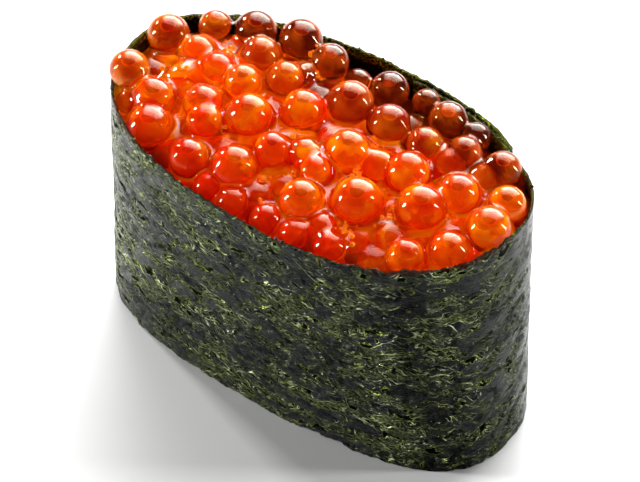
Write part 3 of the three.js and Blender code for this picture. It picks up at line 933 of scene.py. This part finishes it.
class Wall:
    """How far a place is outside the strip's inner face, moved out by reach, and the rim's height there."""

    STEPS = 720  # round the wall
    CHUNK = 20000  # places looked up at a time

    def __init__(self, reach):
        headings = np.linspace(-math.pi, math.pi, self.STEPS + 1)[:-1]
        self.x, self.y = wall_point(headings, HEIGHT, inner_face(headings) + reach)
        self.rim = HEIGHT + waves(RIM_LIFT, headings)
        nx, ny = np.roll(self.y, -1) - np.roll(self.y, 1), np.roll(self.x, 1) - np.roll(self.x, -1)
        size = np.hypot(nx, ny)
        self.nx, self.ny = nx / size, ny / size

    def __call__(self, x, y):
        out = np.empty(x.shape)
        rim = np.empty(x.shape)
        flat_x, flat_y = x.ravel(), y.ravel()
        for start in range(0, flat_x.size, self.CHUNK):
            part = slice(start, start + self.CHUNK)
            gap = (flat_x[part, None] - self.x) ** 2 + (flat_y[part, None] - self.y) ** 2
            k = gap.argmin(axis=1)
            side = (flat_x[part] - self.x[k]) * self.nx[k] + (flat_y[part] - self.y[k]) * self.ny[k]
            out.ravel()[part] = np.sqrt(gap[np.arange(len(k)), k]) * np.sign(side)
            rim.ravel()[part] = self.rim[k]
        return out, rim


def heap_field(x, y, z, eggs, wall):
    """Below zero inside the roe: eggs and gel melted into one another, held by the wall."""
    near = 0.0
    for ex, ey, ez, width in eggs:
        gap = np.sqrt((x - ex) ** 2 + (y - ey) ** 2 + ((z - ez) / EGG_SQUASH) ** 2) - width / 2
        near = near + np.exp(-np.clip(gap + EGG_TRIM, -4.0, 6.0) / EGG_BLEND)
    balls = -EGG_BLEND * np.log(near)
    out, rim = wall
    gel = np.maximum(z - gel_height(x, y), out + GEL_INSET)
    body = smooth_min(balls, gel, GEL_BLEND)
    held = np.minimum(out, rim + SKIN_OVER_RIM - z)
    return np.maximum(np.maximum(body, held), SKIN_FLOOR - z)


def surface_net(field, origin, step):
    """Points and quads of the surface where field is zero, one point for each cell that it crosses."""
    inside = field < 0
    total = np.zeros([n - 1 for n in field.shape] + [3])
    count = np.zeros([n - 1 for n in field.shape])
    size = field.shape
    for axis in range(3):
        others = [k for k in range(3) if k != axis]
        for da in (0, 1):
            for db in (0, 1):
                low = [slice(0, -1)] * 3
                low[others[0]] = slice(da, size[others[0]] - 1 + da)
                low[others[1]] = slice(db, size[others[1]] - 1 + db)
                high = list(low)
                high[axis] = slice(1, None)
                a, b = field[tuple(low)], field[tuple(high)]
                crossed = (a < 0) != (b < 0)
                share = np.where(crossed, a / np.where(crossed, a - b, 1.0), 0.0)
                total[..., axis] += np.where(crossed, share, 0.0)
                total[..., others[0]] += np.where(crossed, da, 0)
                total[..., others[1]] += np.where(crossed, db, 0)
                count += crossed
    cells = np.argwhere(count > 0)
    number = np.full(count.shape, -1)
    number[tuple(cells.T)] = np.arange(len(cells))
    places = total[tuple(cells.T)] / count[tuple(cells.T)][:, None]
    points = np.asarray(origin) + (cells + places) * step
    quads = []
    for axis in range(3):
        u, v = [(1, 2), (2, 0), (0, 1)][axis]
        low = [slice(1, -1)] * 3
        low[axis] = slice(0, -1)
        high = list(low)
        high[axis] = slice(1, None)
        a, b = inside[tuple(low)], inside[tuple(high)]
        for wanted, order in ((a & ~b, (0, 1, 2, 3)), (~a & b, (3, 2, 1, 0))):
            base = np.argwhere(wanted) + [0 if k == axis else 1 for k in range(3)]
            ring = []
            for du, dv in ((-1, -1), (0, -1), (0, 0), (-1, 0)):
                corner = base.copy()
                corner[:, u] += du
                corner[:, v] += dv
                ring.append(number[tuple(corner.T)])
            quads.append(np.stack([ring[k] for k in order], -1))
    return points, np.concatenate(quads)


def settle(points, eggs, wall):
    """Moves points onto the surface itself, so that the eggs are round and not stepped."""
    reach = 0.02
    least_slope = 0.2
    for _ in range(2):
        x, y, z = points.T
        here = heap_field(x, y, z, eggs, wall(x, y))
        slope = []
        for axis in range(3):
            moved = points.copy()
            moved[:, axis] += reach
            mx, my, mz = moved.T
            slope.append((heap_field(mx, my, mz, eggs, wall(mx, my)) - here) / reach)
        slope = np.stack(slope, -1)
        steep = np.maximum((slope ** 2).sum(axis=1), least_slope)
        shift = np.clip(here / steep, -SKIN_STEP / 2, SKIN_STEP / 2)
        points = points - slope * shift[:, None]
    return points


def make_skin(eggs, finish):
    """One closed surface round the eggs and the gel between them."""
    wall = Wall(SKIN_INTO_WALL)
    half = RIM["length"] / 2 + SKIN_MARGIN, RIM["width"] / 2 + SKIN_MARGIN
    xs = np.arange(-half[0], half[0], SKIN_STEP)
    ys = np.arange(-half[1], half[1], SKIN_STEP)
    zs = np.arange(SKIN_FLOOR - 2 * SKIN_STEP, HEIGHT + SKIN_HEADROOM, SKIN_STEP)
    flat_x, flat_y = np.meshgrid(xs, ys, indexing="ij")
    out, rim = wall(flat_x, flat_y)
    field = heap_field(flat_x[..., None], flat_y[..., None], zs[None, None, :], eggs,
                       (out[..., None], rim[..., None]))
    points, quads = surface_net(field, (xs[0], ys[0], zs[0]), SKIN_STEP)
    points = settle(points, eggs, wall)
    points[:, 0] -= OFF_MIDDLE
    return mesh_piece("roe_skin", points, quads, finish)


def skin_finish():
    """Clear and wet, and orange where it is thick."""
    made, tree, shader = material("roe_skin")
    shader.inputs["Base Color"].default_value = (1.0, 0.96, 0.92, 1)
    shader.inputs["Roughness"].default_value = 0.02
    shader.inputs["IOR"].default_value = 1.39
    shader.inputs["Specular Tint"].default_value = (0.72, 0.97, 0.83, 1)
    shader.inputs["Transmission Weight"].default_value = 1.0
    soak = node(tree, "ShaderNodeVolumeAbsorption", {"Color": (1.0, 0.80, 0.0, 1), "Density": 240.0})
    tree.links.new(soak.outputs[0], tree.nodes["Material Output"].inputs["Volume"])
    return made


# ---- roe: what shows through the skin ----

def no_gloss(shader):
    shader.inputs["Roughness"].default_value = 1.0
    shader.inputs["Specular IOR Level"].default_value = 0.0


def painted_shade_front(tree, place):
    """Painted shade: the roe is painted deeper red towards the strip at the front."""
    return ramp(tree, apart(tree, place)[1], *PAINTED_SHADE_FRONT, 0.85, 0.0)


def painted_shade_by_the_strip(tree, place, colour):
    """A colour with painted shade: deep red at the front of the roe and red-brown at its back, by the strip.
    """
    colour = mix(tree, painted_shade_front(tree, place), colour, (0.62, 0.012, 0.001))
    back = ramp(tree, apart(tree, place)[1], *PAINTED_SHADE_BACK, 0.0, 0.80)
    return mix(tree, back, colour, (0.46, 0.055, 0.001))


def clouded_finish(name, scale, detail, roughness, thin, red, gold):
    """Red and gold clouds, without gloss, with painted shade by the strip; thin gives where the clouds turn
    from one to the other.
    """
    made, tree, shader = material(name)
    place = object_place(tree)
    cloud = ramp(tree, speckle(tree, place, scale, detail, roughness), *thin)
    tree.links.new(painted_shade_by_the_strip(tree, place, mix(tree, cloud, red, gold)), shader.inputs["Base Color"])
    no_gloss(shader)
    return made


def yolk_finish():
    return clouded_finish("roe_yolk", 210, 2, 0.5, (0.36, 0.66), (0.76, 0.08, 0.001), (0.86, 0.40, 0.003))


def bed_finish():
    return clouded_finish("roe_bed", 320, 3, 0.6, (0.35, 0.7), (0.78, 0.15, 0.001), (0.88, 0.55, 0.004))


def eye_finish():
    """Oil drops: dark red, with a bright orange underside that is a painted glow."""
    made, tree, shader = material("roe_eye")
    colour = mix(tree, ramp(tree, own_height(tree), 0.1, 0.5), (0.8, 0.10, 0.003), (0.22, 0.006, 0.001))
    tree.links.new(colour, shader.inputs["Base Color"])
    no_gloss(shader)
    return made


def heart_finish():
    """A thin cloud, orange or, in a dark egg, brown: half of the light goes straight through. The brown of
    dark eggs is painted shade, and the heart glows a little, a painted glow.
    """
    made, tree, shader = material("roe_heart")
    tone = stored(tree, "tone")
    place = object_place(tree)
    cloud = speckle(tree, place, 330, 2, 0.5)
    colour = mix(tree, ramp(tree, cloud, 0.36, 0.66), (0.72, 0.062, 0.001), (0.80, 0.42, 0.003))
    # painted shade: deeper red towards the strip at the front
    colour = mix(tree, painted_shade_front(tree, place), colour, (0.62, 0.020, 0.001))
    up = plus(tree, own_height(tree), times(tree, cloud, 0.5))
    colour = mix(tree, ramp(tree, up, 0.85, 1.10, 0.0, 0.65), colour, (0.40, 0.014, 0.001))
    # dark eggs are painted brown: painted shade
    painted_shade_brown = mix(tree, ramp(tree, cloud, 0.40, 0.62), (0.13, 0.012, 0.002), (0.62, 0.11, 0.006))
    tree.links.new(mix(tree, tone, colour, painted_shade_brown), shader.inputs["Base Color"])
    no_gloss(shader)
    # a painted glow of light scattered inside, weaker in the eggs painted brown as shade
    glow = mix(tree, tone, (1.0, 0.022, 0.0), (0.12, 0.008, 0.0))
    tree.links.new(glow, shader.inputs["Emission Color"])
    shader.inputs["Emission Strength"].default_value = 0.19
    clear = node(tree, "ShaderNodeBsdfTransparent")
    blend = node(tree, "ShaderNodeMixShader", {0: 0.5, 1: clear.outputs[0], 2: shader.outputs[0]})
    tree.links.new(blend.outputs[0], tree.nodes["Material Output"].inputs["Surface"])
    return made


def bubble_finish():
    """Gold with an orange top, as a bubble looks in the gel: the gold underside is a painted glint of light,
    and it glows a little, a painted glow.
    """
    made, tree, shader = material("roe_bubble")
    colour = mix(tree, ramp(tree, own_height(tree), 0.30, 0.60), (1.0, 0.52, 0.02), (0.90, 0.17, 0.002))
    tree.links.new(colour, shader.inputs["Base Color"])
    # a painted glow
    tree.links.new(colour, shader.inputs["Emission Color"])
    shader.inputs["Emission Strength"].default_value = 0.15
    shader.inputs["Roughness"].default_value = 0.05
    return made


def make_bed(finish):
    """The opaque mass under the gel: an uneven mound inside the strip."""
    columns, rings = BED["columns"], BED["rings"]
    headings = headings_round(columns)
    inner = inner_face(headings)
    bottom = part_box("roe")[0].z / MM
    points = []
    for ring in range(rings):
        share = 1 - ring / rings
        inset = inner - (BED["clear"] if ring else BED["edge_clear"])
        x, y = wall_point(headings, HEIGHT, inset)
        z = np.maximum(gel_height(x * share, y * share) - BED["sink"], SKIN_FLOOR + BED["lowest"])
        x, y = wall_point(headings, z, inset)
        points.append(np.stack([x * share - OFF_MIDDLE, y * share, z], -1))
    x, y = wall_point(headings, np.full(columns, bottom), inner - BED["clear"])
    points.append(np.stack([x - OFF_MIDDLE, y, np.full(columns, bottom)], -1))
    points = np.concatenate(points)
    crown = len(points)
    centre = [[-OFF_MIDDLE, 0, gel_height(0.0, 0.0) - BED["sink"]], [-OFF_MIDDLE, 0, bottom]]
    points = np.concatenate([points, centre])
    faces = []
    for i in range(columns):
        j = (i + 1) % columns
        for ring in range(rings - 1):
            a, b = ring * columns, (ring + 1) * columns
            faces.append((a + i, a + j, b + j, b + i))
        last, under = (rings - 1) * columns, rings * columns
        faces.append((last + i, last + j, crown))
        faces.append((under + i, under + j, j, i))
        faces.append((under + j, under + i, crown + 1))
    return mesh_piece("roe_bed", points, faces, finish)


def balls_at(name, rows, marks, finish, share, squash, lean):
    """A ball for each row of x, y, z and width, as wide as its share of that width."""
    points = [(x - OFF_MIDDLE, y, z) for x, y, z, _ in rows]
    widths = [row[3] * MM for row in rows]
    return grown(name, points, {"width": widths, **marks}, ball_tree(finish),
                 {"Share": share, "Squash": squash, "Lean": lean, "Long": 1.0})


def make_yolks(finish):
    """Sunk eggs, seen through the gel and through the eggs on top."""
    return balls_at("roe_yolks", lay_eggs([], **SUNK_EGG), {}, finish, 1.0, EGG_SQUASH, 0.6)


def make_hearts(eggs, finish):
    """A cloudy heart in each egg that shows."""
    # tone: how much painted shade each egg gets
    tones = {"tone": [egg_painted_shade(egg) for egg in eggs]}
    return balls_at("roe_hearts", eggs, tones, finish, HEART_SHARE, EGG_SQUASH, 0.6)


def make_eyes(eggs, finish):
    """An oil drop near the top of each large egg."""
    drops = [(x, y, z + EYE["rise"] * width, width) for x, y, z, width in eggs[:len(TOP_EGGS)]]
    return balls_at("roe_eyes", drops, {}, finish, EYE["share"], EYE["squash"], 0.25)


def make_bubbles(skin, eggs, finish):
    """Clusters of small bubbles caught where the gel lies between the eggs."""
    draw = np.random.default_rng(11)
    top = BVHTree.FromObject(skin, bpy.context.evaluated_depsgraph_get())
    above = 60  # well over the heap
    points, widths = [], []
    for x, y, spread, count in BUBBLES:
        for _ in range(count):
            px, py = x + spread * draw.normal(), y + spread * draw.normal()
            width = BUBBLE["smallest"] + BUBBLE["spread"] * draw.random() ** 3
            place = top.ray_cast(Vector((px - OFF_MIDDLE, py, above)) * MM, Vector((0, 0, -1)))[0]
            if place is None:
                continue
            z = place.z / MM
            if all(math.dist((px, py, z), e[:3]) > e[3] / 2 + BUBBLE["clear"] for e in eggs):
                points.append((px - OFF_MIDDLE, py, z - BUBBLE["sink"] * width))
                widths.append(width * MM)
    return grown("roe_bubbles", points, {"width": widths}, ball_tree(finish, "bubbles", 10, 7),
                 {"Share": 1.0, "Squash": 1.0, "Lean": 0.0, "Long": 1.0})


# ---- the whole ----

add_camera()
add_lights()
add_floor()

nori = make_nori(nori_finish())
crumbs = make_crumbs(crumb_finish())
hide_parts("nori")

eggs = all_eggs()
skin = make_skin(eggs, skin_finish())
yolks = make_yolks(yolk_finish())
eyes = make_eyes(eggs, eye_finish())
hearts = make_hearts(eggs, heart_finish())
bubbles = make_bubbles(skin, eggs, bubble_finish())
bed = make_bed(bed_finish())
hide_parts("roe")

rice_look = rice_finish()
core = make_rice_core(rice_look)
grains = make_grains(rice_look)
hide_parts("rice")

for piece in (nori, crumbs, core, grains, skin, yolks, eyes, hearts, bubbles, bed):
    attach(piece, "root")
